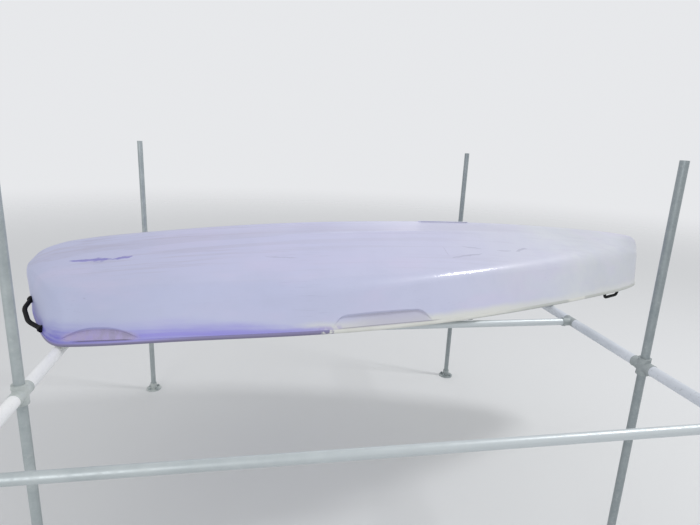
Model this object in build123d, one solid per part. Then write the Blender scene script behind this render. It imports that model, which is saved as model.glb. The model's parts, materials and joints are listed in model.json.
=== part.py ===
from build123d import *
import math
import os

# Sailing dinghy hull stored upside down on one bay of a tubular boat rack. Millimetres.
# The boat is modelled upright in its own frame (x forward from the transom, y to port,
# z up from the lowest point of the parting line between hull and deck) and then turned over.

# Boat, overall
BOAT_LENGTH = 3500.0
RIM_HEIGHT = 18.0            # deck moulding above the parting line, at the gunwale
RIM_RADIUS = 8.0
KEEL_RADIUS = 60.0
SHEER_RADIUS = 53000.0       # the sheer is one long arc
SHEER_LOW_X = 1405.0         # station where the sheer is lowest
SEAT_GAP = 0.3               # clearance between pieces that seat on each other
SEAT_MARGIN = 2.0            # flat seat round a flange

# Sections of the hull: columns name the station and the corners of its half outline.
# The stations of the fore part are measured back from the stem.
# x, half_beam, chine_half, chine_depth, band_half, band_depth, keel_depth, chine_radius
HULL_SECTIONS = [
    (0.0, 118.0, 156.0, 158.0, 112.0, 174.0, 184.0, 30.0),
    (30.0, 226.0, 238.0, 160.0, 140.0, 192.0, 208.0, 45.0),
    (90.0, 380.0, 358.0, 160.0, 172.0, 210.0, 232.0, 70.0),
    (180.0, 580.0, 514.0, 158.0, 192.0, 222.0, 250.0, 90.0),
    (230.0, 646.0, 560.0, 158.0, 193.0, 229.0, 257.0, 100.0),
    (300.0, 671.0, 583.0, 158.0, 192.0, 237.0, 265.0, 110.0),
    (650.0, 692.0, 603.0, 167.0, 180.0, 271.0, 299.0, 120.0),
    (1200.0, 713.0, 618.0, 178.0, 165.0, 307.0, 335.0, 110.0),
    (1700.0, 680.0, 573.0, 185.0, 155.0, 319.0, 347.0, 90.0),
    (2200.0, 575.0, 468.0, 190.0, 135.0, 313.0, 343.0, 80.0),
    (BOAT_LENGTH - 800.0, 422.0, 328.0, 190.0, 105.0, 289.0, 323.0, 110.0),
    (BOAT_LENGTH - 400.0, 272.0, 203.0, 187.0, 75.0, 259.0, 296.0, 130.0),
    (BOAT_LENGTH - 200.0, 184.0, 122.0, 174.0, 48.0, 241.0, 279.0, 100.0),
    (BOAT_LENGTH - 100.0, 128.0, 82.0, 164.0, 33.0, 230.0, 265.0, 60.0),
    (BOAT_LENGTH - 40.0, 84.0, 52.0, 146.0, 22.0, 211.0, 247.0, 30.0),
    (BOAT_LENGTH - 12.0, 50.0, 31.0, 120.0, 14.0, 182.0, 214.0, 14.0),
    (BOAT_LENGTH, 28.0, 17.0, 80.0, 8.0, 125.0, 148.0, 5.0),
]
GUNWALE_LIP = 4.0            # deck moulding proud of the hull, all round
BAND_RADIUS = 40.0           # soft crease along each side of the flat keel band
NARROW_SHARE = 0.6           # limit of a keel or rim radius where the section is narrow

# Hand-holds moulded into the hull under the gunwale:
# x aft, x fore, height, corner radius, run of each sloping end
HAND_HOLDS = [
    (262.0, 540.0, 30.0, 240.0, 80.0),
    (1322.0, 1800.0, 46.0, 60.0, 44.0),
]
HAND_HOLD_DEPTH = 7.0
HAND_HOLD_FLARE = 30.0       # degrees that its walls open outwards
HAND_HOLD_REACH = 60.0       # length of the cutter outwards

# Cockpit well
COCKPIT_AFT = 520.0
COCKPIT_FORE = 1860.0
COCKPIT_HALF_AFT = 400.0
COCKPIT_HALF_FORE = 335.0
COCKPIT_CORNER = 90.0
COCKPIT_DEPTH = 170.0        # floor below the parting line
COCKPIT_TAPER = 8.0
COCKPIT_MOUTH = 30.0         # level above the parting line where its outline is measured
COCKPIT_RIM_RADIUS = 8.0
COCKPIT_FLOOR_RADIUS = 30.0

CUTTER_TOP = 60.0            # how high the cutters reach above the deck
CUTTER_DEPTH = 500.0         # how far the daggerboard's cutter reaches below it
CUT_PAST = 1.0               # how far a cutter runs past a face

# Daggerboard case
CASE_SETBACK = 110.0         # from the cockpit's fore end
CASE_AFT = COCKPIT_FORE + CASE_SETBACK
CASE_LENGTH = 300.0
CASE_WIDTH = 30.0
CAP_MARGIN = 24.0
CAP_THICKNESS = 5.0

# Deck hatch
HATCH_SETBACK = 120.0        # from the case's fore end
HATCH_X = CASE_AFT + CASE_LENGTH + HATCH_SETBACK
HATCH_RADIUS = 60.0          # clear opening
HATCH_NECK_WALL = 6.0
HATCH_FLANGE = 78.0
HATCH_FLANGE_THICKNESS = 5.0
HATCH_NECK_DEPTH = 34.0
HATCH_LEDGE = 8.0            # inward ledge under the lid
HATCH_LEDGE_THICKNESS = 4.0
LID_GAP = 1.0
LID_THICKNESS = 10.0
LID_GRIP_WIDTH = 14.0
LID_GRIP_HEIGHT = 14.0
LID_GRIP_INSET = 15.0
LID_GRIP_CORNER = 6.5

# Mast tube
MAST_SETBACK = 330.0         # from the hatch
MAST_X = HATCH_X + MAST_SETBACK
MAST_BORE_RADIUS = 31.0
MAST_TUBE_WALL = 6.0
MAST_TUBE_DEPTH = 300.0      # bore depth below the flange top
MAST_FLOOR = 8.0
FLANGE_RADIUS = 54.0
FLANGE_THICKNESS = 6.0

# Rudder gudgeons and drain bung on the transom
GUDGEON_LEVELS = [("gudgeon_upper", -8.0), ("gudgeon_lower", -112.0)]
GUDGEON_HEIGHT = 20.0
GUDGEON_WIDTH = 60.0
GUDGEON_PLATE = 5.0
GUDGEON_REACH = 26.0         # bore axis aft of the transom
GUDGEON_BORE_RADIUS = 5.1
GUDGEON_LUG_RADIUS = 13.0
BUNG_Y = 85.0
BUNG_Z = -80.0
BUNG_RADIUS = 17.0
BUNG_THICKNESS = 6.0

# Carry handles: name, ends on the hull, outward direction, standing height, tube radius
HANDLE_BEND = 22.0
STERN_HANDLE_BEND = 110.0
STERN_HANDLE_RADIUS = 10.0
STERN_HANDLE_STAND = 32.0
STERN_HANDLE_SLOPE = 80.0    # how far the ends of the loop's top lie inside its roots
STERN_HANDLE_INNER = (46.0, 288.0, -52.0)    # root towards the transom
STERN_HANDLE_OUTER = (154.0, 537.0, 0.0)    # root towards the side
BOW_HANDLE_RADIUS = 9.0
BOW_HANDLE_STAND = 33.0
BOW_HANDLE_SETBACK = 395.0   # its aft root from the stem
BOW_HANDLE_AFT = BOAT_LENGTH - BOW_HANDLE_SETBACK
BOW_HANDLE_LENGTH = 140.0
BOW_HANDLE_INSET = 30.0      # from the gunwale at the section there
HANDLE_ROOT = 14.0           # how far a handle's ends start inside the moulding

# Small deck eyes: name, x, inset from the gunwale
DECK_EYES = [("jib_fairlead", 2050.0, 50.0), ("traveller_eye", 120.0, 170.0)]
EYE_SPAN = 30.0
EYE_STAND = 22.0
EYE_WIRE = 3.0
EYE_BEND = 9.0
EYE_BASE_RADIUS = 8.0
EYE_BASE_THICKNESS = 3.0

# Toe strap and its plates
STRAP_WIDTH = 46.0
STRAP_THICKNESS = 4.0
STRAP_END_Z = -92.0
STRAP_SAG = 34.0
STRAP_END_GAP = 0.8          # to the plates, which lean with the cockpit's walls
STRAP_PLATE_WIDTH = 76.0
STRAP_PLATE_HEIGHT = 40.0
STRAP_PLATE_THICKNESS = 5.0

# Mainsheet block
BLOCK_BASE_RADIUS = 24.0
BLOCK_TO_CAP = 7.0           # from the rim of its base to the daggerboard case cap
BLOCK_X = CASE_AFT - CAP_MARGIN - BLOCK_TO_CAP - BLOCK_BASE_RADIUS
BLOCK_BASE_THICKNESS = 5.0
BLOCK_NECK_RADIUS = 8.0
BLOCK_NECK_HEIGHT = 16.0
SHEAVE_RADIUS = 24.0
SHEAVE_GROOVE = 5.0
SHEAVE_WIDTH = 12.0
CHEEK_THICKNESS = 3.0
CHEEK_RADIUS = 28.0
CHEEK_OVERLAP = 4.0          # the cheeks run into the neck

# Rack bay: its own frame has the near stern post at the origin, x along the boat
TUBE_RADIUS = 16.85
TUBE_WALL = 3.2
SLEEVE_RADIUS = 21.5
SLEEVE_BORE_GAP = 0.4
POST_SPACING_X = 2330.0
POST_SPACING_Y = 2030.0
ARM_REACH = 447.0            # front rail in front of the near posts
INNER_RAIL_Y = 505.0
TUBE_LEVEL = 1070.0          # cross-tube axis above the floor
NEAR_POST_RISE = 830.0       # post above the cross-tube axis
FAR_POST_RISE = 760.0
RACK_ANGLE = -3.9            # the boat lies slightly askew on the rack
RACK_X = 217.0               # near stern post from the transom
RACK_Y = -973.0              # near stern post from the boat's centreline
COLLAR_RADIUS = 24.5
SOCKET_RADIUS = 23.0
SLIM_COLLAR_RADIUS = 21.2    # the rail tees lie under the deck, below the sleeves' tops
SLIM_SOCKET_RADIUS = 20.2
SOCKET_GAP = 0.25
SOCKET_LENGTH = 52.0
SOCKET_STOP = 20.0           # inner end of a tube in its socket, from the fitting's axis
COLLAR_HALF_HEIGHT = 36.0
FOOT_RADIUS = 52.0
FOOT_THICKNESS = 8.0
FOOT_SOCKET_HEIGHT = 50.0
FOOT_BOLT_CIRCLE = 38.0
FOOT_BOLT_RADIUS = 5.5
FOOT_BOLTS = 4


def sheer(x):
    """Height of the parting line at station x."""
    return (x - SHEER_LOW_X) ** 2 / (2.0 * SHEER_RADIUS)


def deck_z(x):
    return RIM_HEIGHT + sheer(x)


def hull_section(row, lip):
    """Closed seven-cornered section: keel, band edges, chines and gunwales, each rounded."""
    x, half_beam, chine_half, chine_depth, band_half, band_depth, keel_depth, chine_radius = row
    edge_z = deck_z(x)
    corners = [
        (x, 0.0, -keel_depth),
        (x, band_half, -band_depth),
        (x, chine_half, -chine_depth),
        (x, half_beam + lip, edge_z),
        (x, -half_beam - lip, edge_z),
        (x, -chine_half, -chine_depth),
        (x, -band_half, -band_depth),
    ]
    keel = min(KEEL_RADIUS, NARROW_SHARE * band_half)
    band = min(BAND_RADIUS, NARROW_SHARE * band_half)
    rim = min(RIM_RADIUS, NARROW_SHARE * half_beam)
    radii = [keel, band, chine_radius, rim, rim, chine_radius, band]
    return Face(FilletPolyline(*corners, radius=radii, close=True))


def above_sheer(offset):
    """Everything above the parting surface raised by offset."""
    aft_x = -200.0
    fore_x = BOAT_LENGTH + 200.0
    reach = 400.0
    half_width = 900.0
    arc = ThreePointArc(
        (aft_x, 0.0, sheer(aft_x) + offset),
        (SHEER_LOW_X, 0.0, offset),
        (fore_x, 0.0, sheer(fore_x) + offset),
    )
    roof = Polyline(
        (fore_x, 0.0, sheer(fore_x) + offset),
        (fore_x, 0.0, reach),
        (aft_x, 0.0, reach),
        (aft_x, 0.0, sheer(aft_x) + offset),
    )
    profile = Face(Wire([arc] + roof.edges()))
    return extrude(profile, amount=half_width, dir=(0, 1, 0), both=True)


def cylinder_at(x, y, low, high, radius):
    return Pos(x, y, low) * Cylinder(radius, high - low, align=(Align.CENTER, Align.CENTER, Align.MIN))


def tapered_well():
    """Cutter for the cockpit, drawn in from its mouth towards the floor."""
    corners = [
        (COCKPIT_AFT, -COCKPIT_HALF_AFT),
        (COCKPIT_FORE, -COCKPIT_HALF_FORE),
        (COCKPIT_FORE, COCKPIT_HALF_FORE),
        (COCKPIT_AFT, COCKPIT_HALF_AFT),
    ]
    outline = Polyline(*corners, close=True)
    face = Face(Wire(outline.edges()))
    face = fillet(face.vertices(), COCKPIT_CORNER)
    face = Pos(0, 0, COCKPIT_MOUTH) * face
    well = extrude(face, amount=-(COCKPIT_MOUTH + COCKPIT_DEPTH), taper=COCKPIT_TAPER)
    return fillet(well.edges().group_by(Axis.Z)[0], COCKPIT_FLOOR_RADIUS)


def slot_cutter(length, width, low, high):
    middle = CASE_AFT + CASE_LENGTH / 2.0
    shape = Pos(middle, 0, low) * SlotOverall(length, width)
    return extrude(shape, amount=high - low)


def swept_loop(points, bend, radius):
    """Round bar along straight runs joined by arcs."""
    path = FilletPolyline(*points, radius=bend)
    start = path @ 0
    direction = path % 0
    profile = Plane(origin=start, z_dir=direction) * Circle(radius)
    return sweep(profile, path=path)


def offset_point(point, direction, distance):
    return tuple(a + b * distance for a, b in zip(point, direction))


def mirrored(part):
    return part.mirror(Plane.XZ)


def on_cockpit_rim(edge):
    """True for the deck's upper edges round the cockpit."""
    center = edge.center()
    inside = COCKPIT_AFT - 1.0 < center.X < COCKPIT_FORE + 1.0 and abs(center.Y) < COCKPIT_HALF_AFT + 1.0
    return inside and center.Z > 0.5 * (sheer(center.X) + deck_z(center.X))


def side_point(body, x, z):
    """Point on the body's port side at station x and height z."""
    hits = body.find_intersection_points(Axis((x, 0.0, z), (0.0, 1.0, 0.0)))
    return max((point for point, normal in hits), key=lambda point: point.Y)


def deck_edge_point(body, x, inset, rise):
    """Point beside the port gunwale at station x, rise above the deck."""
    edge = side_point(body, x, deck_z(x) - RIM_RADIUS)
    return (x, edge.Y - inset, deck_z(x) + rise)


def hand_hold_cutter(body, x_aft, x_fore, height, corner, slope):
    """Shallow pocket in the flared side, open towards the gunwale lip."""
    low_aft = side_point(body, x_aft, -height)
    low_fore = side_point(body, x_fore, -height)
    high = side_point(body, 0.5 * (x_aft + x_fore), 0.0)
    along = (low_fore - low_aft).normalized()
    middle = (low_aft + low_fore) * 0.5
    up = (high - middle) - along * (high - middle).dot(along)
    length = (low_fore - low_aft).length
    plane = Plane(origin=middle, x_dir=along, z_dir=along.cross(up))
    outward = 1.0 if plane.z_dir.Y > 0.0 else -1.0
    half = length / 2.0
    ends = [(half - slope, -height), (half, 0.0), (half - slope, height)]
    corners = ends + [(-x, -y) for x, y in ends]
    outline = Face(Wire(Polyline(*corners, close=True).edges()))
    outline = fillet([v for v in outline.vertices() if abs(v.Y) > 0.5 * height], corner)
    pocket = plane * (Pos(0, height, -outward * HAND_HOLD_DEPTH) * outline)
    return extrude(pocket, amount=outward * HAND_HOLD_REACH, taper=-HAND_HOLD_FLARE)


# Hull and deck mouldings
moulding = loft([hull_section(row, 0.0) for row in HULL_SECTIONS])
lipped_moulding = loft([hull_section(row, GUNWALE_LIP) for row in HULL_SECTIONS])
deck_space = above_sheer(0.0)
well = tapered_well()
case_slot = slot_cutter(CASE_LENGTH, CASE_WIDTH, -CUTTER_DEPTH, CUTTER_TOP)
mast_seat_z = deck_z(MAST_X - FLANGE_RADIUS)
mast_tube_radius = MAST_BORE_RADIUS + MAST_TUBE_WALL
mast_top_z = mast_seat_z + SEAT_GAP + FLANGE_THICKNESS
mast_foot_z = mast_top_z - MAST_TUBE_DEPTH - MAST_FLOOR
hatch_seat_z = deck_z(HATCH_X - HATCH_FLANGE)
hatch_neck_radius = HATCH_RADIUS + HATCH_NECK_WALL
hatch_top_z = hatch_seat_z + SEAT_GAP + HATCH_FLANGE_THICKNESS
hatch_foot_z = hatch_top_z - HATCH_NECK_DEPTH
seats = [
    cylinder_at(MAST_X, 0, mast_seat_z, CUTTER_TOP, FLANGE_RADIUS + SEAT_MARGIN),
    cylinder_at(MAST_X, 0, mast_foot_z - SEAT_GAP, CUTTER_TOP, mast_tube_radius + SEAT_GAP),
    cylinder_at(HATCH_X, 0, hatch_seat_z, CUTTER_TOP, HATCH_FLANGE + SEAT_MARGIN),
    cylinder_at(HATCH_X, 0, hatch_foot_z - SEAT_GAP, CUTTER_TOP, hatch_neck_radius + SEAT_GAP),
]
hull = moulding - deck_space
for row in HAND_HOLDS:
    cutter = hand_hold_cutter(moulding, *row)
    hull = hull - cutter - mirrored(cutter)
lipped_deck = lipped_moulding & deck_space
deck = lipped_deck
hull = hull - well
deck = deck - well
rim_edges = [edge for edge in deck.edges() if on_cockpit_rim(edge)]
deck = deck.fillet(COCKPIT_RIM_RADIUS, rim_edges)
for cutter in [case_slot] + seats:
    hull = hull - cutter
    deck = deck - cutter

boat = {"hull_moulding": hull, "deck_moulding": deck}

# Daggerboard case cap, laid along the sheer
cap_length = CASE_LENGTH + 2.0 * CAP_MARGIN
cap_width = CASE_WIDTH + 2.0 * CAP_MARGIN
cap_block = slot_cutter(cap_length, cap_width, 0.0, CUTTER_TOP)
cap_low = above_sheer(RIM_HEIGHT + SEAT_GAP)
cap_high = above_sheer(RIM_HEIGHT + SEAT_GAP + CAP_THICKNESS)
boat["daggerboard_case_cap"] = (cap_block & cap_low) - cap_high - case_slot

# Mast tube: flange on the deck, blind tube down to the hull's bottom
mast_body = cylinder_at(MAST_X, 0, mast_foot_z, mast_top_z, mast_tube_radius)
mast_flange = cylinder_at(MAST_X, 0, mast_top_z - FLANGE_THICKNESS, mast_top_z, FLANGE_RADIUS)
mast_bore = cylinder_at(MAST_X, 0, mast_foot_z + MAST_FLOOR, CUTTER_TOP, MAST_BORE_RADIUS)
boat["mast_tube"] = mast_body + mast_flange - mast_bore

# Hatch ring with an inner ledge, and the lid that turns in it
ring = cylinder_at(HATCH_X, 0, hatch_foot_z, hatch_top_z, hatch_neck_radius)
ring += cylinder_at(HATCH_X, 0, hatch_top_z - HATCH_FLANGE_THICKNESS, hatch_top_z, HATCH_FLANGE)
lid_top_z = hatch_top_z
lid_low_z = lid_top_z - LID_THICKNESS
ledge_top_z = lid_low_z - LID_GAP
ring -= cylinder_at(HATCH_X, 0, ledge_top_z, CUTTER_TOP, HATCH_RADIUS)
ring -= cylinder_at(HATCH_X, 0, hatch_foot_z - CUT_PAST, CUTTER_TOP, HATCH_RADIUS - HATCH_LEDGE)
ring -= cylinder_at(HATCH_X, 0, hatch_foot_z - CUT_PAST, ledge_top_z - HATCH_LEDGE_THICKNESS, HATCH_RADIUS)
boat["hatch_ring"] = ring
lid_radius = HATCH_RADIUS - LID_GAP
lid = cylinder_at(HATCH_X, 0, lid_low_z, lid_top_z, lid_radius)
grip = Pos(HATCH_X, 0, lid_top_z) * Box(
    2.0 * (lid_radius - LID_GRIP_INSET),
    LID_GRIP_WIDTH,
    LID_GRIP_HEIGHT,
    align=(Align.CENTER, Align.CENTER, Align.MIN),
)
grip = fillet(grip.edges().filter_by(Axis.Z), LID_GRIP_CORNER)
boat["hatch_lid"] = lid + grip

# Gudgeons: a plate on the transom and a lug with the pintle's bore
for name, level in GUDGEON_LEVELS:
    plate = Pos(-GUDGEON_PLATE / 2.0, 0, 0) * Rectangle(GUDGEON_PLATE, GUDGEON_WIDTH)
    web = Pos(-GUDGEON_REACH / 2.0, 0, 0) * Rectangle(GUDGEON_REACH, 2.0 * GUDGEON_LUG_RADIUS)
    lug = Pos(-GUDGEON_REACH, 0, 0) * Circle(GUDGEON_LUG_RADIUS)
    bore = Pos(-GUDGEON_REACH, 0, 0) * Circle(GUDGEON_BORE_RADIUS)
    outline = plate + web + lug - bore
    boat[name] = Pos(0, 0, level - GUDGEON_HEIGHT / 2.0) * extrude(outline, amount=GUDGEON_HEIGHT)

# Drain bung
bung = Rot(0, -90, 0) * Cylinder(
    BUNG_RADIUS,
    BUNG_THICKNESS,
    align=(Align.CENTER, Align.CENTER, Align.MIN),
)
bung_bar = Pos(-BUNG_THICKNESS, 0, 0) * Box(
    BUNG_THICKNESS,
    BUNG_RADIUS,
    BUNG_THICKNESS,
    align=(Align.MAX, Align.CENTER, Align.CENTER),
)
boat["drain_bung"] = Pos(0, BUNG_Y, BUNG_Z) * (bung + bung_bar)

# Stern handles: one loop along each quarter, standing out from it
inner = Vector(*STERN_HANDLE_INNER)
outer = Vector(*STERN_HANDLE_OUTER)
run = (outer - inner).normalized()
outward = Vector(-run.Y, run.X, 0.0).normalized()
stern_points = [
    inner - outward * HANDLE_ROOT,
    inner + outward * STERN_HANDLE_STAND + run * STERN_HANDLE_SLOPE,
    outer + outward * STERN_HANDLE_STAND - run * STERN_HANDLE_SLOPE,
    outer - outward * HANDLE_ROOT,
]
stern_handle = swept_loop(stern_points, STERN_HANDLE_BEND, STERN_HANDLE_RADIUS) - moulding - lipped_deck
stern_handle = stern_handle.solids().sort_by(SortBy.VOLUME)[-1]
boat["stern_handle_port"] = stern_handle
boat["stern_handle_starboard"] = mirrored(stern_handle)

# Bow handles: low loops on the foredeck beside the gunwale
bow_fore = BOW_HANDLE_AFT + BOW_HANDLE_LENGTH
bow_low_aft = deck_edge_point(moulding, BOW_HANDLE_AFT, BOW_HANDLE_INSET, -HANDLE_ROOT / 2.0)
bow_low_fore = deck_edge_point(moulding, bow_fore, BOW_HANDLE_INSET, -HANDLE_ROOT / 2.0)
bow_points = [
    bow_low_aft,
    offset_point(bow_low_aft, (0, 0, 1), BOW_HANDLE_STAND + HANDLE_ROOT / 2.0),
    offset_point(bow_low_fore, (0, 0, 1), BOW_HANDLE_STAND + HANDLE_ROOT / 2.0),
    bow_low_fore,
]
bow_handle = swept_loop(bow_points, HANDLE_BEND, BOW_HANDLE_RADIUS) - moulding
bow_handle = bow_handle.solids().sort_by(SortBy.VOLUME)[-1]
boat["bow_handle_port"] = bow_handle
boat["bow_handle_starboard"] = mirrored(bow_handle)

# Deck eyes in pairs
for name, x, inset in DECK_EYES:
    y = deck_edge_point(moulding, x, inset, 0.0)[1]
    half_base = EYE_SPAN / 2.0 + EYE_BASE_RADIUS
    low = max(deck_z(x - half_base), deck_z(x + half_base)) + SEAT_GAP
    eye_points = [
        (x - EYE_SPAN / 2.0, y, low),
        (x - EYE_SPAN / 2.0, y, low + EYE_STAND),
        (x + EYE_SPAN / 2.0, y, low + EYE_STAND),
        (x + EYE_SPAN / 2.0, y, low),
    ]
    eye = swept_loop(eye_points, EYE_BEND, EYE_WIRE)
    base = Pos(x, y, low) * SlotOverall(2.0 * half_base, 2.0 * EYE_BASE_RADIUS)
    eye += extrude(base, amount=EYE_BASE_THICKNESS)
    boat[name + "_port"] = eye
    boat[name + "_starboard"] = mirrored(eye)

# Toe strap hanging down the upturned cockpit, and the plates that hold its ends
taper = math.tan(math.radians(COCKPIT_TAPER))
wall_inset = (COCKPIT_MOUTH - STRAP_END_Z) * taper
# columns: name, wall, direction into the cockpit
STRAP_PLATES = [("toe_strap_plate_aft", COCKPIT_AFT, 1.0), ("toe_strap_plate_fore", COCKPIT_FORE, -1.0)]
for name, wall_x, side in STRAP_PLATES:
    plate = Box(
        STRAP_PLATE_THICKNESS,
        STRAP_PLATE_WIDTH,
        STRAP_PLATE_HEIGHT,
        align=(Align.MIN, Align.CENTER, Align.CENTER),
    )
    facing = 0.0 if side > 0.0 else 180.0
    turned = Rot(0, 0, facing) * (Rot(0, -COCKPIT_TAPER, 0) * plate)
    boat[name] = Pos(wall_x + side * (wall_inset + SEAT_GAP), 0, STRAP_END_Z) * turned
strap_start = COCKPIT_AFT + wall_inset + STRAP_PLATE_THICKNESS + STRAP_END_GAP
strap_end = COCKPIT_FORE - wall_inset - STRAP_PLATE_THICKNESS - STRAP_END_GAP
strap_middle = 0.5 * (strap_start + strap_end)
strap_lower = ThreePointArc(
    (strap_start, 0, STRAP_END_Z),
    (strap_middle, 0, STRAP_END_Z + STRAP_SAG),
    (strap_end, 0, STRAP_END_Z),
)
strap_upper = ThreePointArc(
    (strap_start, 0, STRAP_END_Z + STRAP_THICKNESS),
    (strap_middle, 0, STRAP_END_Z + STRAP_SAG + STRAP_THICKNESS),
    (strap_end, 0, STRAP_END_Z + STRAP_THICKNESS),
)
strap_ends = [
    Line((strap_start, 0, STRAP_END_Z), (strap_start, 0, STRAP_END_Z + STRAP_THICKNESS)),
    Line((strap_end, 0, STRAP_END_Z), (strap_end, 0, STRAP_END_Z + STRAP_THICKNESS)),
]
strap_face = Face(Wire([strap_lower, strap_upper] + strap_ends))
boat["toe_strap"] = extrude(strap_face, amount=STRAP_WIDTH / 2.0, dir=(0, 1, 0), both=True)

# Mainsheet block on its base
block_low = deck_z(BLOCK_X - BLOCK_BASE_RADIUS) + 2.0 * SEAT_GAP
block = cylinder_at(BLOCK_X, 0, block_low, block_low + BLOCK_BASE_THICKNESS, BLOCK_BASE_RADIUS)
neck_top = block_low + BLOCK_BASE_THICKNESS + BLOCK_NECK_HEIGHT
block += cylinder_at(BLOCK_X, 0, block_low, neck_top, BLOCK_NECK_RADIUS)
sheave_z = neck_top + CHEEK_RADIUS - CHEEK_OVERLAP
groove = Cylinder(SHEAVE_RADIUS + CUT_PAST, SHEAVE_GROOVE)
groove -= Cylinder(SHEAVE_RADIUS - SHEAVE_GROOVE, SHEAVE_GROOVE)
wheel = Cylinder(SHEAVE_RADIUS, SHEAVE_WIDTH) - groove
cheek_offset = (SHEAVE_WIDTH + CHEEK_THICKNESS) / 2.0
for side in (-1.0, 1.0):
    wheel += Pos(0, 0, side * cheek_offset) * Cylinder(CHEEK_RADIUS, CHEEK_THICKNESS)
block += Pos(BLOCK_X, 0, sheave_z) * (Rot(90, 0, 0) * wheel)
boat["mainsheet_block"] = block


# Rack fittings and tubes, in the rack's own frame
def rod(start, end, radius):
    vector = Vector(*end) - Vector(*start)
    plane = Plane(origin=start, z_dir=vector)
    return extrude(plane * Circle(radius), amount=vector.length)


def pipe(start, end, radius, bore):
    return rod(start, end, radius) - rod(start, end, bore)


def fitting(center, through, sockets, collar_radius=COLLAR_RADIUS, socket_radius=SOCKET_RADIUS):
    """Cast clamp: a collar round the through tube and sockets that leave it."""
    x, y, z = center
    collar_reach = [COLLAR_HALF_HEIGHT * c for c in through]
    low = (x - collar_reach[0], y - collar_reach[1], z - collar_reach[2])
    high = (x + collar_reach[0], y + collar_reach[1], z + collar_reach[2])
    body = rod(low, high, collar_radius)
    cuts = rod(low, high, TUBE_RADIUS + SOCKET_GAP)
    for direction in sockets:
        stop = offset_point(center, direction, SOCKET_STOP - SOCKET_GAP)
        mouth = offset_point(center, direction, SOCKET_LENGTH)
        body = body + rod(center, mouth, socket_radius)
        cuts = cuts + rod(stop, mouth, TUBE_RADIUS + SOCKET_GAP)
    return body - cuts


def elbow(center, sockets):
    """Corner fitting: two sockets that meet in a ball, each with a stopped bore."""
    body = Pos(*center) * Sphere(COLLAR_RADIUS)
    for direction in sockets:
        mouth = offset_point(center, direction, SOCKET_LENGTH)
        body = body + rod(center, mouth, SOCKET_RADIUS)
    for direction in sockets:
        stop = offset_point(center, direction, SOCKET_STOP - SOCKET_GAP)
        mouth = offset_point(center, direction, SOCKET_LENGTH)
        body = body - rod(stop, mouth, TUBE_RADIUS + SOCKET_GAP)
    return body


UP = (0.0, 0.0, 1.0)
FORE = (1.0, 0.0, 0.0)
AFT = (-1.0, 0.0, 0.0)
FAR = (0.0, 1.0, 0.0)
NEAR = (0.0, -1.0, 0.0)
tube_bore = TUBE_RADIUS - TUBE_WALL
sleeve_bore = TUBE_RADIUS + SLEEVE_BORE_GAP
rack = {}
# columns: name, x, direction of the rails that meet this side's fittings
SIDES = [("stern", 0.0, FORE), ("bow", POST_SPACING_X, AFT)]
# columns: name, y, height above the cross tubes
POST_ROWS = [("near", 0.0, NEAR_POST_RISE), ("far", POST_SPACING_Y, FAR_POST_RISE)]
for side_name, x, inward in SIDES:
    for row_name, y, rise in POST_ROWS:
        post_name = "post_" + row_name + "_" + side_name
        rack[post_name] = pipe(
            (x, y, FOOT_THICKNESS + SEAT_GAP - TUBE_LEVEL),
            (x, y, rise),
            TUBE_RADIUS,
            tube_bore,
        )
        foot = Pos(x, y, -TUBE_LEVEL) * Cylinder(
            FOOT_RADIUS,
            FOOT_THICKNESS,
            align=(Align.CENTER, Align.CENTER, Align.MIN),
        )
        socket_top = FOOT_SOCKET_HEIGHT - TUBE_LEVEL
        foot = foot + rod((x, y, -TUBE_LEVEL), (x, y, socket_top), SOCKET_RADIUS)
        socket_floor = (x, y, FOOT_THICKNESS - TUBE_LEVEL)
        foot = foot - rod(socket_floor, (x, y, socket_top), TUBE_RADIUS + SOCKET_GAP)
        for turn in range(FOOT_BOLTS):
            bolt_angle = 2.0 * math.pi * (turn + 0.5) / FOOT_BOLTS
            bolt_x = x + FOOT_BOLT_CIRCLE * math.cos(bolt_angle)
            bolt_y = y + FOOT_BOLT_CIRCLE * math.sin(bolt_angle)
            bolt_low = (bolt_x, bolt_y, -TUBE_LEVEL)
            bolt_high = (bolt_x, bolt_y, FOOT_THICKNESS - TUBE_LEVEL)
            foot = foot - rod(bolt_low, bolt_high, FOOT_BOLT_RADIUS)
        rack["foot_" + row_name + "_" + side_name] = foot
    rack["post_cross_near_" + side_name] = fitting((x, 0, 0), UP, [FAR, NEAR])
    rack["post_tee_far_" + side_name] = fitting((x, POST_SPACING_Y, 0), UP, [NEAR])
    rack["rail_elbow_" + side_name] = elbow((x, -ARM_REACH, 0), [FAR, inward])
    rack["rail_tee_" + side_name] = fitting(
        (x, INNER_RAIL_Y, 0), FAR, [inward], SLIM_COLLAR_RADIUS, SLIM_SOCKET_RADIUS
    )
    rack["arm_" + side_name] = pipe(
        (x, SOCKET_STOP - ARM_REACH, 0), (x, -SOCKET_STOP, 0), TUBE_RADIUS, tube_bore
    )
    rack["cross_tube_" + side_name] = pipe(
        (x, SOCKET_STOP, 0), (x, POST_SPACING_Y - SOCKET_STOP, 0), TUBE_RADIUS, tube_bore
    )
    sleeves = Compound(
        [
            pipe((x, low, 0), (x, high, 0), SLEEVE_RADIUS, sleeve_bore).solid()
            for low, high in (
                (SOCKET_LENGTH - ARM_REACH, -SOCKET_LENGTH),
                (SOCKET_LENGTH, INNER_RAIL_Y - COLLAR_HALF_HEIGHT),
                (INNER_RAIL_Y + COLLAR_HALF_HEIGHT, POST_SPACING_Y - SOCKET_LENGTH),
            )
        ]
    )
    rack["cross_sleeves_" + side_name] = sleeves
for rail_name, y in (("front_rail", -ARM_REACH), ("inner_rail", INNER_RAIL_Y)):
    rack[rail_name] = pipe(
        (SOCKET_STOP, y, 0), (POST_SPACING_X - SOCKET_STOP, y, 0), TUBE_RADIUS, tube_bore
    )

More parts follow.
